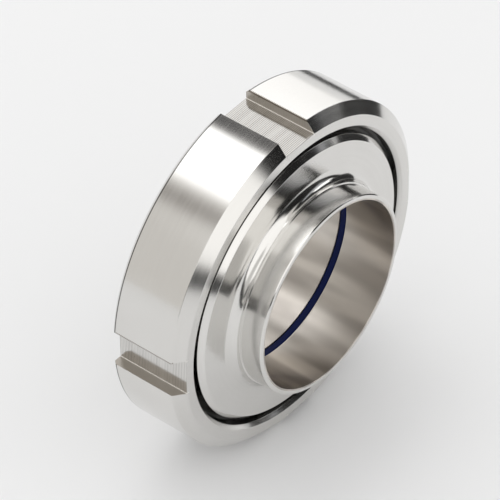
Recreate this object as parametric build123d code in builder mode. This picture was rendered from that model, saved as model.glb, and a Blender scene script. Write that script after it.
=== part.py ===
from build123d import *
from math import cos, radians, sin, sqrt
import os

# Hygienic butt weld union, nominal bore 50: a slotted round nut, a threaded male
# part, a liner and a seal ring. Sizes in millimetres.
#
# Every piece is a turned part. Stations run along the union's axis from the
# nut's back face (0) towards the male part's weld end, and a section's second
# coordinate is the radius. The round thread is drawn as plain cylinders.

# Tube that both weld ends match
tube_bore_r = 25.0
tube_wall = 1.5
rim_chamfer = 0.25

# Seal ring
seal_thickness = 5.0
seal_width = 6.0
seal_gap = 1.9  # between the male part's inner lip and the liner
seal_bead_step = 0.2  # the bead stops this far behind the bore
seal_clearance = 0.1

# Liner
liner_stub = 8.0
collar_land = 3.4
cone_length = 5.1
cone_rise = 1.35
seal_cover = 0.9  # the liner's face reaches this far past the seal

# Male part
lip_wall = 1.0
cone_clearance = 0.3
cone_overlap = 0.3  # the male part's end reaches this far over the collar's land
male_wall = 4.45
thread_lead = 0.9
disc_wall = 2.8
disc_length = 2.6
disc_step = 1.7
disc_edge = 0.8
hub_step = 0.4
hub_fillet = 2.7
hub_fillet_chords = 3
weld_stub = 8.8

# Slotted nut
thread_clearance = 0.4
nut_wall = 6.6
nut_back_wall = 4.4
nut_back_chamfer = 0.9
nut_bevel_length = 2.4
nut_bevel_height = 2.9
nut_mouth_chamfer = 0.9
nut_hole_clearance = 4.0
disc_proud = 0.3  # the disc stands this far out of the nut
slot_count = 4
slot_width = 10.5
slot_depth = 3.2

# Radii that follow, from the bore outwards
tube_r = tube_bore_r + tube_wall
hub_r = tube_r + hub_step
nut_hole_r = tube_r + nut_hole_clearance
lip_r = tube_bore_r + lip_wall
groove_r = lip_r + seal_width
cone_top_r = groove_r + seal_cover
collar_r = cone_top_r + cone_rise
thread_r = collar_r + cone_clearance + male_wall
disc_r = thread_r - disc_step
nut_bore_r = thread_r + thread_clearance
nut_r = nut_bore_r + nut_wall

# Stations that follow, from the nut's back face forwards
liner_end = nut_back_wall - liner_stub
cone_start = nut_back_wall + collar_land
male_start = cone_start - cone_overlap
seal_face = cone_start + cone_length
recess_floor = seal_face + cone_clearance
lip_end = seal_face + seal_gap
groove_floor = seal_face + seal_thickness
disc_face = groove_floor + disc_wall
thread_end = disc_face - disc_length - disc_step
hub_end = disc_face + hub_fillet
male_end = disc_face + weld_stub
nut_length = disc_face - disc_proud

# The union lies on its side, on the two edges of the nut's bottom slot, and its
# male end looks towards -Y.
axis_height = sqrt(nut_r**2 - (slot_width / 2) ** 2)
along = Vector(0, -1, 0)
centre = Vector(0, (male_end + liner_end) / 2, axis_height)
section = Plane(origin=centre, x_dir=along, z_dir=(-1, 0, 0))
turning_axis = Axis(centre, along)

# The hub runs from the disc to a sharp edge in a hollow fillet, drawn as chords
fillet_turns = [radians(90 * chord / hub_fillet_chords) for chord in range(hub_fillet_chords + 1)]
hub_fillet_points = [
    (hub_end - hub_fillet * cos(turn), hub_r + hub_fillet - hub_fillet * sin(turn)) for turn in fillet_turns
]


def recess_r(station):
    """Radius of the male part's cone, which clears the liner's, at a station."""
    return collar_r + cone_clearance - (station - cone_start) * cone_rise / cone_length


# Slotted nut: a turned cap with four slots milled along it for a hook spanner
with BuildPart() as slotted_nut:
    with BuildSketch(section):
        with BuildLine():
            Polyline(
                (0, nut_hole_r),
                (0, nut_r - nut_back_chamfer),
                (nut_back_chamfer, nut_r),
                (nut_length - nut_bevel_length, nut_r),
                (nut_length, nut_r - nut_bevel_height),
                (nut_length, nut_bore_r + nut_mouth_chamfer),
                (nut_length - nut_mouth_chamfer, nut_bore_r),
                (nut_back_wall, nut_bore_r),
                (nut_back_wall, nut_hole_r),
                close=True,
            )
        make_face()
    revolve(axis=turning_axis)
    with BuildSketch(Plane(origin=centre, x_dir=(0, 0, 1), z_dir=along)):
        with PolarLocations(nut_r, slot_count):
            Rectangle(2 * slot_depth, slot_width)
    extrude(amount=nut_length, mode=Mode.SUBTRACT)

# Male part: thread, disc, hub and weld stub outside; cone, seal groove, lip and
# bore inside
with BuildPart() as male_part:
    with BuildSketch(section):
        with BuildLine():
            Polyline(
                (male_start, recess_r(male_start)),
                (male_start, thread_r - thread_lead),
                (male_start + thread_lead, thread_r),
                (thread_end, thread_r),
                (thread_end + disc_step, disc_r),
                (disc_face - disc_edge, disc_r),
                (disc_face, disc_r - disc_edge),
                *hub_fillet_points,
                (hub_end, tube_r),
                (male_end - rim_chamfer, tube_r),
                (male_end, tube_r - rim_chamfer),
                (male_end, tube_bore_r),
                (lip_end, tube_bore_r),
                (lip_end, lip_r),
                (groove_floor, lip_r),
                (groove_floor, groove_r),
                (recess_floor, groove_r),
                (recess_floor, recess_r(recess_floor)),
                close=True,
            )
        make_face()
    revolve(axis=turning_axis)

# Seal ring: sits in the groove, and its bead fills the gap between the lip and
# the liner
with BuildPart() as seal_ring:
    with BuildSketch(section):
        with BuildLine():
            Polyline(
                (seal_face, tube_bore_r + seal_bead_step),
                (seal_face, groove_r - seal_clearance),
                (groove_floor, groove_r - seal_clearance),
                (groove_floor, lip_r + seal_clearance),
                (lip_end, lip_r + seal_clearance),
                (lip_end, tube_bore_r + seal_bead_step),
                close=True,
            )
        make_face()
    revolve(axis=turning_axis)

# Liner: a collar with a centring cone, pulled against the seal by the nut's back
# wall
with BuildPart() as liner:
    with BuildSketch(section):
        with BuildLine():
            Polyline(
                (liner_end, tube_r),
                (liner_end, tube_bore_r),
                (seal_face, tube_bore_r),
                (seal_face, cone_top_r),
                (cone_start, collar_r),
                (nut_back_wall, collar_r),
                (nut_back_wall, tube_r),
                close=True,
            )
        make_face()
    revolve(axis=turning_axis)

os.makedirs("parts", exist_ok=True)
slotted_nut.part.label = "slotted_nut"
male_part.part.label = "male_part"
seal_ring.part.label = "seal_ring"
liner.part.label = "liner"
export_step(slotted_nut.part, "parts/slotted_nut.step")
export_step(male_part.part, "parts/male_part.step")
export_step(seal_ring.part, "parts/seal_ring.step")
export_step(liner.part, "parts/liner.step")
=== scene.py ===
from math import ceil, cos, pi, radians, sin, sqrt, tan, tanh

import bmesh
import bpy
from mathutils import Matrix, Vector


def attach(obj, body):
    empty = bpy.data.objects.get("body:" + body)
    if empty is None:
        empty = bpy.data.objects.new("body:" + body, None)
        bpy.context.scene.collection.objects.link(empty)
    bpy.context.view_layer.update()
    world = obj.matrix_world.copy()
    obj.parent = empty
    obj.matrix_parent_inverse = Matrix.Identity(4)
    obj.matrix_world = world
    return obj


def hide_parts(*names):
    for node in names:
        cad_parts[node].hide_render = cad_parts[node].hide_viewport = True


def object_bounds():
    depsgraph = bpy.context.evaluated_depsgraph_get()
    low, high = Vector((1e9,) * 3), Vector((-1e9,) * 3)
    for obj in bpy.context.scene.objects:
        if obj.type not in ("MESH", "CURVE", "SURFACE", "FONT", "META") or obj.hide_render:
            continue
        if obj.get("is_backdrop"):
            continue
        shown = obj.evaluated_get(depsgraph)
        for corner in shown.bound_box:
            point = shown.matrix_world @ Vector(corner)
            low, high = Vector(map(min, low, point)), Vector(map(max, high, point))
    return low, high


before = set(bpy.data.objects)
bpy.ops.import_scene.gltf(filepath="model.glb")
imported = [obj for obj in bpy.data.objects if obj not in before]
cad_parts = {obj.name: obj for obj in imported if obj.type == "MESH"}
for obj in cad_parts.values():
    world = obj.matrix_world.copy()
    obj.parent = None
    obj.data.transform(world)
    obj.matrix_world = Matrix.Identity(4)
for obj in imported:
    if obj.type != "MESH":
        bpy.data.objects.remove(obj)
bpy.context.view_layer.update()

# Sizes in millimetres, as in the part's source. Stations run along the turning
# axis from the nut's back face (0) towards the male part's weld end, and a
# section's second coordinate is the radius.
MM = 0.001
TUBE_BORE_R = 25.0
TUBE_R = 26.5
RIM_CHAMFER = 0.25

# Seal ring and its groove
SEAL_FACE = 12.9
LIP_END = 14.8
GROOVE_FLOOR = 17.9
LIP_R = 26.0
GROOVE_R = 32.0
SEAL_BEAD_STEP = 0.2
SEAL_CLEARANCE = 0.1

# Liner, and the cone that centres it in the male part
LINER_END = -3.6
COLLAR_R = 34.25
CONE_START = 7.8
CONE_SLOPE = tan(radians(15))
CONE_GAP = 0.3 / cos(radians(15))
RECESS_FLOOR = 13.2

# Male part
MALE_START = 7.5
MALE_END = 29.5
THREAD_R = 39.0
THREAD_LEAD = 0.9
THREAD_STRAIGHT_END = 16.4
DISC_BACK = 18.1
DISC_FACE = 20.7
DISC_R = 37.85
DISC_EDGE_LENGTH = 1.25
DISC_EDGE_HEIGHT = 1.35
HUB_R = 26.9
HUB_FILLET = 2.7

# Slotted nut
NUT_R = 46.0
NUT_BORE_R = 39.4
NUT_HOLE_R = 30.5
NUT_LENGTH = 20.4
NUT_BACK_WALL = 4.4
NUT_BACK_CHAMFER = 0.9
NUT_BEVEL_LENGTH = 2.4
NUT_BEVEL_HEIGHT = 2.9
NUT_MOUTH_CHAMFER = 0.9
SLOT_COUNT = 4
SLOT_WIDTH = 10.5
SLOT_DEPTH = 3.2
SLOT_HALF = SLOT_WIDTH / 2
SLOT_FLOOR_R = NUT_R - SLOT_DEPTH

# Round thread, right-handed
PITCH = 25.4 / 6
THREAD_DEPTH = 2.1
MALE_THREAD_END = 16.9
MALE_RUN_OUT = 1.6
NUT_THREAD_START = 6.4
NUT_THREAD_END = 17.6
NUT_THREAD_R = 39.35
NUT_RUN_IN = 1.0
NUT_RUN_OUT = 2.2

# Where the turning axis lies
AXIS_Y = (MALE_END + LINER_END) / 2
AXIS_Z = sqrt(NUT_R**2 - SLOT_HALF**2)

THREADED_SEGMENTS = 512
PLAIN_SEGMENTS = 384


def new_object(name, bm):
    """A linked object from a bmesh, which is used up."""
    mesh = bpy.data.meshes.new(name)
    bm.to_mesh(mesh)
    bm.free()
    obj = bpy.data.objects.new(name, mesh)
    bpy.context.scene.collection.objects.link(obj)
    return obj


def rounded(corners, steps=3):
    """A closed profile's corners (station, radius, round) with small arcs in place of the corners.

    A point just beside each arc keeps the long faces' shading straight.
    """
    points = []
    for i, (station, radius, rounding) in enumerate(corners):
        here = Vector((station, radius))
        if not rounding:
            points.append((station, radius))
            continue
        before = Vector(corners[i - 1][:2]) - here
        after = Vector(corners[(i + 1) % len(corners)][:2]) - here
        turn = before.angle(after)
        reach = min(rounding / tan(turn / 2), 0.45 * before.length, 0.45 * after.length)
        arc_r = reach * tan(turn / 2)
        middle = here + (before.normalized() + after.normalized()).normalized() * (arc_r / sin(turn / 2))
        first = here + before.normalized() * reach - middle
        last = here + after.normalized() * reach - middle
        sweep = first.angle_signed(last)
        count = max(2, ceil(steps * (pi - turn) / (pi / 2)))
        lead = here + before.normalized() * (reach + min(0.25 * reach, 0.05 * before.length))
        tail = here + after.normalized() * (reach + min(0.25 * reach, 0.05 * after.length))
        points.append((lead.x, lead.y))
        for k in range(count + 1):
            spoke = first.copy()
            spoke.rotate(Matrix.Rotation(-sweep * k / count, 2))
            points.append((middle.x + spoke.x, middle.y + spoke.y))
        points.append((tail.x, tail.y))
    return points


def arc(centre, radius, start, end, steps):
    """Corners along an arc in the section, angles in degrees from the axis direction."""
    turns = [radians(start + (end - start) * k / steps) for k in range(steps + 1)]
    return [(centre[0] + radius * cos(turn), centre[1] + radius * sin(turn), 0) for turn in turns]


def dense(start, end, radius, step=0.14):
    """Corners along a thread, close enough to carry its rounded form."""
    count = max(2, round(abs(end - start) / step))
    return [(start + (end - start) * k / count, radius, 0) for k in range(count + 1)]


def slope(start, radius, run, rise, steps):
    """Corners inside a slope, without its two ends."""
    return [(start + run * k / steps, radius + rise * k / steps, 0) for k in range(1, steps)]


def turned(name, profile, segments, shape=None):
    """A closed profile turned about the axis; shape(station, radius, angle) may cut a thread in it."""
    bm = bmesh.new()
    rings = []
    for i in range(segments):
        angle = 2 * pi * i / segments
        ring = []
        for station, radius in profile:
            if shape:
                radius = shape(station, radius, angle)
            place = (radius * sin(angle) * MM, (AXIS_Y - station) * MM, (AXIS_Z + radius * cos(angle)) * MM)
            ring.append(bm.verts.new(place))
        rings.append(ring)
    for i, here in enumerate(rings):
        beside = rings[(i + 1) % segments]
        for k in range(len(profile)):
            m = (k + 1) % len(profile)
            bm.faces.new((here[k], here[m], beside[m], beside[k]))
    bmesh.ops.recalc_face_normals(bm, faces=bm.faces)
    return new_object(name, bm)


def finish_mesh(obj, sharp=28):
    """Smooth shading between sharp edges, and flat shading on slot walls and floors."""
    mesh = obj.data
    for face in mesh.polygons:
        face.use_smooth = True
    mesh.set_sharp_from_angle(angle=radians(sharp))
    for face in mesh.polygons:
        along_axis = abs(face.normal.y) < 0.001
        square_on = max(abs(face.normal.x), abs(face.normal.z)) > 0.99999
        if along_axis and square_on and len(face.vertices) > 4:
            face.use_smooth = False


def thread_wave(station, angle):
    """0 on a crest and 1 in a groove of the male thread."""
    wave = sin(2 * pi * (station / PITCH + angle / (2 * pi)))
    return 0.5 + 0.5 * tanh(1.5 * wave) / tanh(1.5)


def male_thread(station, radius, angle):
    if radius < 36.0 or station > MALE_THREAD_END:
        return radius
    fade = min(1.0, max(0.0, (MALE_THREAD_END - station) / MALE_RUN_OUT))
    return min(radius, THREAD_R - THREAD_DEPTH * thread_wave(station, angle) * fade)


def nut_thread(station, radius, angle):
    if radius > 40.0 or radius < 39.0 or station < NUT_THREAD_START or station > NUT_THREAD_END:
        return radius
    run_out = max(0.0, (NUT_THREAD_END - station) / NUT_RUN_OUT)
    run_in = max(0.0, (station - NUT_THREAD_START) / NUT_RUN_IN)
    return NUT_THREAD_R - THREAD_DEPTH * thread_wave(station, angle) * min(1.0, run_out, run_in)


def cone_r(station):
    """Radius of the liner's centring cone at a station."""
    return COLLAR_R - (station - CONE_START) * CONE_SLOPE


# The nut: a turned cap, then the milled slots
nut = turned(
    "round_nut",
    rounded(
        [
            (0, NUT_HOLE_R, 0.25),
            (0, NUT_R - NUT_BACK_CHAMFER, 0.12),
            (NUT_BACK_CHAMFER, NUT_R, 0.12),
            (NUT_LENGTH - NUT_BEVEL_LENGTH, NUT_R, 0.1),
            (NUT_LENGTH, NUT_R - NUT_BEVEL_HEIGHT, 0.12),
            (NUT_LENGTH, NUT_BORE_R + NUT_MOUTH_CHAMFER, 0.12),
            (NUT_LENGTH - NUT_MOUTH_CHAMFER, NUT_BORE_R, 0.15),
            *dense(NUT_THREAD_END, NUT_THREAD_START, NUT_BORE_R),
            (NUT_BACK_WALL, NUT_BORE_R, 0),
            (NUT_BACK_WALL, NUT_HOLE_R, 0.2),
        ]
    ),
    THREADED_SEGMENTS,
    nut_thread,
)
CUTTER_LENGTH = 30
CUTTER_HEIGHT = 6
cutters = []
for turn in range(SLOT_COUNT):
    bm = bmesh.new()
    bmesh.ops.create_cube(bm, size=1)
    spin = Matrix.Rotation(2 * pi * turn / SLOT_COUNT, 4, "Y")
    for v in bm.verts:
        along = v.co.y * CUTTER_LENGTH + AXIS_Y - NUT_LENGTH / 2
        out_by = SLOT_FLOOR_R + (v.co.z + 0.5) * CUTTER_HEIGHT
        v.co = Vector((v.co.x * SLOT_WIDTH, along, out_by)) * MM
        v.co = spin @ v.co + Vector((0, 0, AXIS_Z * MM))
    cutters.append(new_object("cutter", bm))
for cutter in cutters:
    cut = nut.modifiers.new("slot", "BOOLEAN")
    cut.operation = "DIFFERENCE"
    cut.solver = "EXACT"
    cut.object = cutter
bpy.context.view_layer.update()
slotted = bpy.data.meshes.new_from_object(nut.evaluated_get(bpy.context.evaluated_depsgraph_get()))
nut.modifiers.clear()
nut.data = slotted
for cutter in cutters:
    bpy.data.objects.remove(cutter)
finish_mesh(nut, 22)
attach(nut, "nut")
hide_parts("slotted_nut")

# The male part
male = turned(
    "threaded_male",
    rounded(
        [
            (MALE_START, cone_r(MALE_START) + CONE_GAP, 0.2),
            (MALE_START, THREAD_R - THREAD_LEAD, 0),
            *slope(MALE_START, THREAD_R - THREAD_LEAD, THREAD_LEAD, THREAD_LEAD, 6),
            *dense(MALE_START + THREAD_LEAD, THREAD_STRAIGHT_END, THREAD_R),
            *slope(THREAD_STRAIGHT_END, THREAD_R, DISC_BACK - THREAD_STRAIGHT_END, DISC_R - THREAD_R, 8),
            (DISC_BACK, DISC_R, 0.1),
            (DISC_FACE - DISC_EDGE_LENGTH, DISC_R, 0.12),
            (DISC_FACE, DISC_R - DISC_EDGE_HEIGHT, 0.14),
            *arc((DISC_FACE + HUB_FILLET, HUB_R + HUB_FILLET), HUB_FILLET, 180, 270, 14),
            (DISC_FACE + HUB_FILLET + 0.1, TUBE_R, 0),
            (MALE_END - RIM_CHAMFER, TUBE_R, 0.1),
            (MALE_END, TUBE_R - RIM_CHAMFER, 0.08),
            (MALE_END, TUBE_BORE_R, 0.1),
            (LIP_END, TUBE_BORE_R, 0.28),
            (LIP_END, LIP_R, 0),
            (GROOVE_FLOOR, LIP_R, 0),
            (GROOVE_FLOOR, GROOVE_R, 0),
            (RECESS_FLOOR, GROOVE_R, 0.1),
            (RECESS_FLOOR, cone_r(RECESS_FLOOR) + CONE_GAP, 0),
        ]
    ),
    THREADED_SEGMENTS,
    male_thread,
)
finish_mesh(male)
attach(male, "male")
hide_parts("male_part")

# The liner
liner = turned(
    "collared_liner",
    rounded(
        [
            (LINER_END, TUBE_R, 0.15),
            (LINER_END, TUBE_BORE_R, 0.1),
            (SEAL_FACE, TUBE_BORE_R, 0.1),
            (SEAL_FACE, cone_r(SEAL_FACE), 0.3),
            (CONE_START, COLLAR_R, 0.3),
            (NUT_BACK_WALL, COLLAR_R, 0.3),
            (NUT_BACK_WALL, TUBE_R, 1.2),
        ]
    ),
    PLAIN_SEGMENTS,
)
finish_mesh(liner)
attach(liner, "liner")
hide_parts("liner")

# The seal
seal = turned(
    "bore_seal",
    rounded(
        [
            (SEAL_FACE, TUBE_BORE_R + SEAL_BEAD_STEP, 0.35),
            (SEAL_FACE, GROOVE_R - SEAL_CLEARANCE, 0.3),
            (GROOVE_FLOOR, GROOVE_R - SEAL_CLEARANCE, 0.3),
            (GROOVE_FLOOR, LIP_R + SEAL_CLEARANCE, 0.1),
            (LIP_END, LIP_R + SEAL_CLEARANCE, 0),
            (LIP_END, TUBE_BORE_R + SEAL_BEAD_STEP, 0.35),
        ],
        5,
    ),
    PLAIN_SEGMENTS,
)
finish_mesh(seal)
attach(seal, "male")
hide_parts("seal_ring")


# Materials
class Tree:
    """Short calls for building a node tree."""

    def __init__(self, owner):
        owner.use_nodes = True
        self.tree = owner.node_tree
        self.tree.nodes.clear()

    def node(self, kind, **values):
        node = self.tree.nodes.new(kind)
        for key, value in values.items():
            setattr(node, key, value)
        return node

    def put(self, socket, value):
        if isinstance(value, bpy.types.NodeSocket):
            self.tree.links.new(value, socket)
        else:
            socket.default_value = value

    def fill(self, node, values):
        for i, value in enumerate(values):
            self.put(node.inputs[i], value)

    def math(self, operation, *values):
        node = self.node("ShaderNodeMath", operation=operation)
        self.fill(node, values)
        return node.outputs[0]

    def times(self, first, *others):
        for other in others:
            first = self.math("MULTIPLY", first, other)
        return first

    def less(self, value, limit):
        return self.math("LESS_THAN", value, limit)

    def more(self, value, limit):
        return self.math("GREATER_THAN", value, limit)

    def size(self, value):
        return self.math("ABSOLUTE", value)

    def sway(self, value, amount, start):
        """Start, moved by a share of how far a value from 0 to 1 lies off its middle."""
        return self.math("MULTIPLY_ADD", self.math("SUBTRACT", value, 0.5), amount, start)

    def ramp(self, value, a, b, low=0.0, high=1.0):
        """A smooth step from low at a to high at b."""
        node = self.node("ShaderNodeMapRange", interpolation_type="SMOOTHSTEP")
        self.fill(node, (value, a, b, low, high))
        return node.outputs[0]

    def blend(self, factor, a, b):
        node = self.node("ShaderNodeMix", data_type="RGBA")
        self.put(node.inputs[0], factor)
        self.put(node.inputs[6], a)
        self.put(node.inputs[7], b)
        return node.outputs[2]

    def noise(self, vector, scale, detail=2.0, rough=0.5):
        node = self.node("ShaderNodeTexNoise")
        for key, value in (("Vector", vector), ("Scale", scale), ("Detail", detail), ("Roughness", rough)):
            self.put(node.inputs[key], value)
        return node.outputs["Fac"]

    def combine(self, x, y, z):
        node = self.node("ShaderNodeCombineXYZ")
        self.fill(node, (x, y, z))
        return node.outputs[0]

    def split(self, vector):
        node = self.node("ShaderNodeSeparateXYZ")
        self.put(node.inputs[0], vector)
        return node.outputs

    def place(self):
        """The shaded point, in metres."""
        return self.node("ShaderNodeTexCoord").outputs["Object"]

    def lathe_place(self):
        """The shaded point's station and radius in millimetres, and its angle in radians."""
        x, y, z = self.split(self.place())
        up = self.math("SUBTRACT", z, AXIS_Z * MM)
        station = self.math("MULTIPLY_ADD", y, -1 / MM, AXIS_Y)
        radius = self.math("SQRT", self.math("ADD", self.times(x, x), self.times(up, up)))
        return station, self.times(radius, 1 / MM), self.math("ARCTAN2", x, up)


def principled(name):
    """A new material, its tree and its shader."""
    material = bpy.data.materials.new(name)
    t = Tree(material)
    shader = t.node("ShaderNodeBsdfPrincipled")
    t.put(t.node("ShaderNodeOutputMaterial").inputs[0], shader.outputs[0])
    return material, t, shader


def grey(level):
    return (level, level, level, 1)


def nut_marks_and_shade(t, station, radius, angle, tint, rough):
    """Marks of milling in the slots, with painted shade on the slot walls, the saw-tooth edge and the
    thread, a painted highlight in the slot roots and a painted dark reflection beside the back chamfer.
    """
    # Across the nearest slot, and out from the axis in its direction
    quarter = 2 * pi / SLOT_COUNT
    turn = t.math("DIVIDE", angle, quarter)
    turn = t.times(t.math("SUBTRACT", turn, t.math("ROUND", turn)), -quarter)
    across = t.times(radius, t.math("SINE", turn))
    out_by = t.times(radius, t.math("COSINE", turn))
    aside = t.size(across)
    in_width = t.less(aside, SLOT_HALF + 0.012)
    in_slot = t.times(in_width, t.more(out_by, SLOT_FLOOR_R - 0.8), t.less(radius, NUT_R - 0.07))

    # Milling lines, stronger and weaker along the slot
    line_pitch = 0.48
    line = t.math("SINE", t.times(station, 2 * pi / line_pitch))
    drift = t.noise(t.combine(station, 0.0, 0.0), 0.5, 2.0)
    strength = t.times(t.ramp(line, 0.1, 0.8, 0.0, 0.65), t.ramp(drift, 0.35, 0.6, 0.4, 1.0))
    tint = t.blend(t.times(in_slot, strength), tint, (0.22, 0.21, 0.20, 1))

    # Walls: painted shade makes them a darker brown than the floor, and they are duller
    wall = t.times(in_slot, t.more(aside, SLOT_HALF - 0.01))
    tint = t.blend(t.times(wall, 0.75), tint, (0.42, 0.38, 0.33, 1))
    rough = t.math("MULTIPLY_ADD", wall, 0.12, rough)

    # The root between wall and floor is dull, and a painted highlight makes its colour near white
    root_dullness_and_highlight = t.times(in_slot, t.more(aside, SLOT_HALF - 0.18), t.less(out_by, SLOT_FLOOR_R + 0.2))
    tint = t.blend(root_dullness_and_highlight, tint, (0.95, 0.93, 0.90, 1))
    rough = t.math("MULTIPLY_ADD", root_dullness_and_highlight, 0.4, rough)

    # The cutter left a fine saw-tooth edge on one side of each slot; it has no shape here, and a dark
    # saw-toothed band of painted shade stands in for it
    tooth = t.ramp(line, -0.6, 0.6, SLOT_HALF + 0.13, SLOT_HALF + 0.37)
    beside = t.times(t.less(t.times(across, -1.0), tooth), t.less(across, 0.01 - SLOT_HALF))
    tooth_shade = t.times(beside, t.more(out_by, NUT_R - 0.8))
    tint = t.blend(t.times(tooth_shade, 0.8), tint, (0.16, 0.13, 0.10, 1))

    # Painted shade over the thread, from the back wall to the mouth, less of it near the mouth
    thread = t.times(
        t.ramp(radius, NUT_BORE_R - 0.2, NUT_BORE_R + 0.5, 1.0, 0.0),
        t.ramp(station, NUT_BACK_WALL - 0.2, NUT_BACK_WALL + 0.1),
        t.ramp(station, NUT_LENGTH - 2.2, NUT_LENGTH - 0.8, 0.93, 0.35),
    )
    tint = t.blend(thread, tint, grey(0.03))

    # A painted dark reflection: a fine dark line beside the back chamfer
    edge = NUT_BACK_CHAMFER
    rim = t.times(t.ramp(station, edge + 0.2, edge + 0.4, 1.0, 0.0), t.ramp(station, edge - 0.1, edge))
    rim = t.times(rim, t.more(radius, NUT_R - 0.1))
    tint = t.blend(t.times(rim, 0.85), tint, grey(0.05))
    return tint, rough


def bore_shade_and_roughness(t, station, radius, angle, tint, rough):
    """Painted shade: the gap behind the disc darkened, and the bore darkened with brown streaks along it.
    """
    # Painted shade darkens the gap behind the disc
    gap_shade = t.times(
        t.ramp(radius, DISC_R - 1.25, DISC_R - 0.95),
        t.ramp(station, DISC_BACK + 0.3, DISC_BACK + 1.7, 1.0, 0.0),
    )
    tint = t.blend(t.times(gap_shade, 0.45), tint, grey(0.03))
    # Painted shade darkens the bore, in brown streaks along it
    round_x = t.times(t.math("SINE", angle), 2.6)
    round_z = t.times(t.math("COSINE", angle), 2.6)
    streak = t.noise(t.combine(round_x, round_z, t.times(station, 0.015)), 1.6, 1.0)
    bore_shade_tone = t.blend(t.ramp(streak, 0.38, 0.62), (0.36, 0.33, 0.30, 1), (0.62, 0.58, 0.53, 1))
    bore = t.ramp(radius, TUBE_BORE_R + 0.3, TUBE_BORE_R + 0.6, 1.0, 0.0)
    tint = t.blend(t.times(bore, 0.9), tint, bore_shade_tone)
    return tint, t.math("MULTIPLY_ADD", bore, 0.16, rough)


def steel(name, colour, rough, aniso, add_marks_and_shade):
    """Turned and polished steel; the last argument gives the marks, painted shade and painted highlights
    that only some pieces have.
    """
    material, t, shader = principled(name)
    station, radius, angle = t.lathe_place()
    shader.inputs["Metallic"].default_value = 1.0
    shader.inputs["Anisotropic"].default_value = aniso
    shader.inputs["Anisotropic Rotation"].default_value = 0.25
    tangent = t.node("ShaderNodeTangent", direction_type="RADIAL", axis="Y")
    t.put(shader.inputs["Tangent"], tangent.outputs[0])

    # Turning marks run round the axis, and soft clouds lie over them
    marks = t.noise(t.combine(station, radius, t.times(t.math("SINE", angle), 0.5)), 2.0, 1.0)
    clouds = t.noise(t.place(), 60.0, 3.0, 0.55)
    rough = t.sway(clouds, 0.08, t.sway(marks, 0.05, rough))
    shade = t.sway(clouds, 0.25, t.sway(marks, 0.12, 0.95))
    shade = t.math("MINIMUM", t.math("MAXIMUM", shade, 0.0), 1.0)
    red, green, blue = colour
    tint = t.blend(shade, (red * 0.6, green * 0.57, blue * 0.54, 1), (*colour, 1))
    tint, rough = add_marks_and_shade(t, station, radius, angle, tint, rough)
    t.put(shader.inputs["Base Color"], tint)
    t.put(shader.inputs["Roughness"], rough)

    # Very shallow grooves, over softened edges
    bump = t.node("ShaderNodeBump")
    bump.inputs["Strength"].default_value = 1.0
    bump.inputs["Distance"].default_value = MM
    t.put(bump.inputs["Height"], t.times(marks, 0.0003))
    edge = t.node("ShaderNodeBevel", samples=6)
    edge.inputs["Radius"].default_value = 0.1 * MM
    t.put(bump.inputs["Normal"], edge.outputs[0])
    t.put(shader.inputs["Normal"], bump.outputs[0])
    return material


def rubber(name):
    material, t, shader = principled(name)
    patches = t.noise(t.combine(*t.lathe_place()), 3.0, 3.0)
    t.put(shader.inputs["Base Color"], t.blend(patches, (0.001, 0.004, 0.03, 1), (0.002, 0.010, 0.085, 1)))
    shader.inputs["Specular IOR Level"].default_value = 0.12
    t.put(shader.inputs["Roughness"], t.math("MULTIPLY_ADD", patches, 0.15, 0.4))
    return material


def matt(name, dark, light, scale, rough, specular):
    """A dull grey that drifts between two levels."""
    material, t, shader = principled(name)
    t.put(shader.inputs["Base Color"], t.blend(t.noise(t.place(), scale), grey(dark), grey(light)))
    shader.inputs["Roughness"].default_value = rough
    shader.inputs["Specular IOR Level"].default_value = specular
    return material


materials = {
    nut: steel("nut_steel", (0.72, 0.71, 0.69), 0.17, 0.6, nut_marks_and_shade),
    male: steel("male_steel", (0.74, 0.73, 0.71), 0.14, 0.6, bore_shade_and_roughness),
    liner: steel("liner_steel", (0.74, 0.72, 0.70), 0.14, 0.2, bore_shade_and_roughness),
    seal: rubber("seal_rubber"),
}
for obj, material in materials.items():
    obj.data.materials.clear()
    obj.data.materials.append(material)

# Floor
bm = bmesh.new()
bmesh.ops.create_grid(bm, x_segments=1, y_segments=1, size=6.0)
floor = new_object("floor", bm)
floor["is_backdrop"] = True
floor.data.materials.append(matt("floor", 0.84, 0.87, 3.0, 0.7, 0.1))


# Light tent: wide domes round the object with soft boxes and dark panels, which
# the camera looks through
def unseen(name, bm):
    obj = new_object(name, bm)
    obj.visible_camera = False
    obj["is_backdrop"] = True
    return obj


def card(t, azimuth, elevation, base, middle, half, soft, colour, lean=0.0):
    """A panel over what is there; lean raises its middle by so many degrees for each degree of azimuth."""
    off = t.math("WRAP", t.math("SUBTRACT", azimuth, middle[0]), 180.0, -180.0)
    rise = t.math("SUBTRACT", t.math("SUBTRACT", elevation, middle[1]), t.times(off, lean))
    wide = t.ramp(t.size(off), half[0] - soft, half[0] + soft, 1.0, 0.0)
    high = t.ramp(t.size(rise), half[1] - soft, half[1] + soft, 1.0, 0.0)
    return t.blend(t.times(wide, high), base, (*colour, 1))


def dome(name, radius, base, cards):
    """A dome that glows inwards with a base colour and the cards on it."""
    bm = bmesh.new()
    bmesh.ops.create_icosphere(bm, subdivisions=4, radius=radius)
    obj = unseen(name, bm)
    material = bpy.data.materials.new(name)
    t = Tree(material)
    unit = t.node("ShaderNodeVectorMath", operation="NORMALIZE")
    t.put(unit.inputs[0], t.place())
    x, y, z = t.split(unit.outputs[0])
    azimuth = t.times(t.math("ARCTAN2", x, y), 180 / pi)
    elevation = t.times(t.math("ARCSINE", z), 180 / pi)
    sky = (*base, 1)
    for each in cards:
        sky = card(t, azimuth, elevation, sky, *each)
    glow = t.node("ShaderNodeEmission")
    t.put(glow.inputs[0], sky)
    t.put(t.node("ShaderNodeOutputMaterial").inputs[0], glow.outputs[0])
    obj.data.materials.append(material)
    return obj


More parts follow.
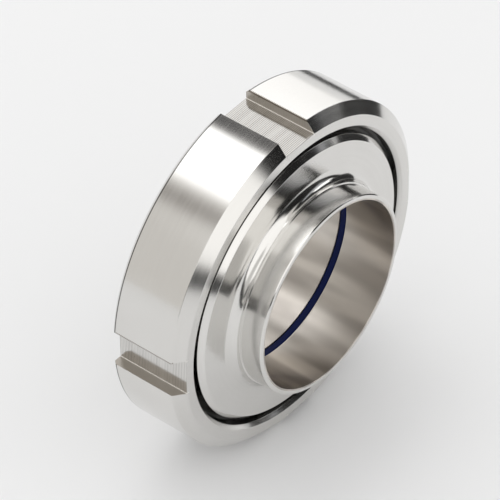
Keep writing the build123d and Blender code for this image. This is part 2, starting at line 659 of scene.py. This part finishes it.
# What the metal mirrors: each card's azimuth (from +Y towards +X) and elevation,
# half its width and height, the softness of its edge, all in degrees, its colour
# and its lean. A later card covers the ones before it.
tent = dome("tent", 3.0, (0.78, 0.76, 0.73), [
    ((38, 12), (27, 30), 6, (1.5, 1.5, 1.5)),
    ((-2, 74), (34, 20), 5, (2.2, 2.2, 2.2)),
    ((38, 54), (11, 6), 3, (0.03, 0.03, 0.035)),
    ((-45, 49), (6, 5), 4, (0.34, 0.32, 0.30)),
    ((-85, 25), (7, 32), 5, (0.36, 0.35, 0.34)),
    ((-130, 70), (70, 55), 3, (1.32, 1.31, 1.29), 0.35),
    ((-137, 4), (42, 7), 3, (0.05, 0.05, 0.05), 0.3),
    ((112, 24), (26, 48), 3, (0.02, 0.02, 0.02)),
    ((150, 14), (15, 36), 4, (0.02, 0.02, 0.02)),
    ((118, 6), (14, 5), 5, (0.16, 0.16, 0.16)),
    ((121, 34), (5, 20), 3, (0.52, 0.53, 0.55)),
    ((-122, 32), (16, 22), 5, (0.72, 0.71, 0.69)),
    ((110, 24), (6, 16), 2, (1.8, 1.8, 1.8)),
])
tent.visible_diffuse = False

# The plain soft light that the floor and all that is dull gets
fill = dome("fill", 2.9, (0.98, 0.98, 0.98), [((35, 60), (34, 20), 12, (1.7, 1.7, 1.7))])
fill.visible_glossy = False

# Dark panels that stand on the floor, out of view, for the metal to mirror:
# first and last azimuth in degrees, distance and height in metres
PANELS = ((88, 112, 0.235, 0.13), (50, 88, 0.235, 0.036), (112, 166, 0.60, 0.12), (-182, -92, 0.9, 0.09))
bm = bmesh.new()
for start, end, far, high in PANELS:
    count = max(2, round((end - start) / 3))
    posts = []
    for k in range(count + 1):
        turn = radians(start + (end - start) * k / count)
        posts.append([bm.verts.new((far * sin(turn), far * cos(turn), z)) for z in (0.0, high)])
    for a, b in zip(posts, posts[1:]):
        bm.faces.new((a[0], b[0], b[1], a[1]))
panels = unseen("panels", bm)
panels.visible_shadow = False
panels.visible_diffuse = False
panels.data.materials.append(matt("panels", 0.012, 0.025, 8.0, 0.9, 0.5))

world = bpy.data.worlds.new("studio")
bpy.context.scene.world = world
t = Tree(world)
background = t.node("ShaderNodeBackground")
background.inputs[0].default_value = grey(0.9)
t.put(t.node("ShaderNodeOutputWorld").inputs[0], background.outputs[0])

# Camera, at the photograph's angle and distance. It looks at a point near the
# union's middle, down from the side between -Y and -X; angles are in degrees,
# and the focal length is in pixels of the photograph.
CAMERA_AIM = Vector((0.13, 8.12, 46.0))
CAMERA_DISTANCE = 1012.5
CAMERA_TURN = -50.74
CAMERA_ELEVATION = 43.20
CAMERA_ROLL = -0.63
FOCAL_PIXELS = 4200
PHOTO_PIXELS = 500
camera = bpy.data.cameras.new("camera")
camera.sensor_width = 36.0
camera.lens = camera.sensor_width * FOCAL_PIXELS / PHOTO_PIXELS
camera.clip_start = 0.1
camera.clip_end = 50
view = bpy.data.objects.new("camera", camera)
bpy.context.scene.collection.objects.link(view)
facing = Matrix.Rotation(radians(CAMERA_TURN), 3, "Z")
facing = facing @ Matrix.Rotation(radians(90 - CAMERA_ELEVATION), 3, "X")
facing = facing @ Matrix.Rotation(radians(CAMERA_ROLL), 3, "Z")
backwards = facing @ Vector((0, 0, 1))
view.matrix_world = Matrix.Translation((CAMERA_AIM + CAMERA_DISTANCE * backwards) * MM) @ facing.to_4x4()
bpy.context.scene.camera = view
bpy.context.scene.view_settings.view_transform = "Standard"

low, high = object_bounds()
